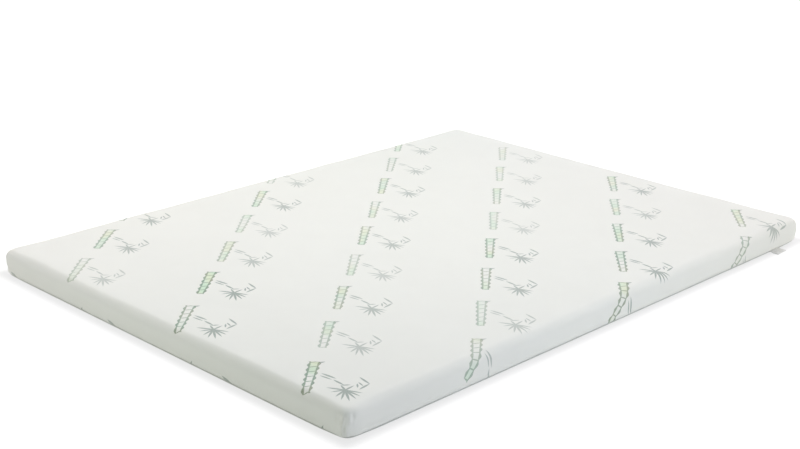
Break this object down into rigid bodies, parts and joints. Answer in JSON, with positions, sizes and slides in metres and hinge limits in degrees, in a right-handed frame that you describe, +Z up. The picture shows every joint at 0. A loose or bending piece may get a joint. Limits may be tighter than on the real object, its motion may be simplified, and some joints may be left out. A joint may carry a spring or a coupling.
{
  "type": "mattress topper",
  "caption": "Flat foam mattress topper in a soft printed knit cover with rounded edges, an underside panel and a blank sewn-in label.",
  "frame": {"origin": "on the underside, at the middle of the flat bottom face", "axes": "+X along the length, +Y along the width, +Z up; the label comes out of the -Y side near the +X end"},
  "size_m": [2.0356, 1.5639, 0.0807],
  "materials": {
    "knit_cover": "matte white stretch knit with a green leaf print",
    "underside_cloth": "matte plain cloth",
    "label_satin": "smooth woven tape, blank"
  },
  "bodies": {
    "root": {"topper_body": "knit_cover", "base_panel": "underside_cloth", "care_label": "label_satin"}
  },
  "joints": []
}
